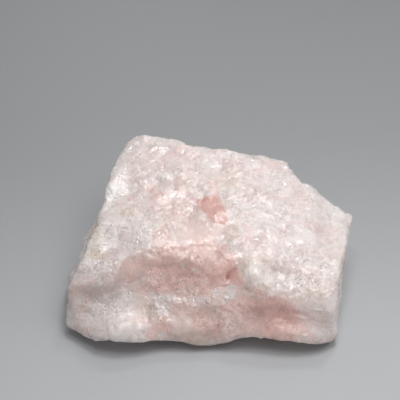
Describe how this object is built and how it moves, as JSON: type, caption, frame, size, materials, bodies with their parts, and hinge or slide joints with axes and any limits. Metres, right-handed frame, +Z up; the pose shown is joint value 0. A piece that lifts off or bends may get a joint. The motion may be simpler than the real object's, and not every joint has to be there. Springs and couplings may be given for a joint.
{
  "type": "rough morganite crystal",
  "caption": "Rough broken lump of pale pink, milky morganite beryl with a broad sloping top, a hollowed front face and a flat break to rest on.",
  "frame": {"origin": "middle of the overall box, on the flat break it rests on", "axes": "+X along the lump, +Y towards its tall back edge, +Z up"},
  "size_m": [0.0544, 0.0364, 0.0223],
  "materials": {
    "crystal": "rough broken, milky and slightly see-through"
  },
  "bodies": {
    "root": {"morganite_crystal": "crystal"}
  },
  "joints": []
}
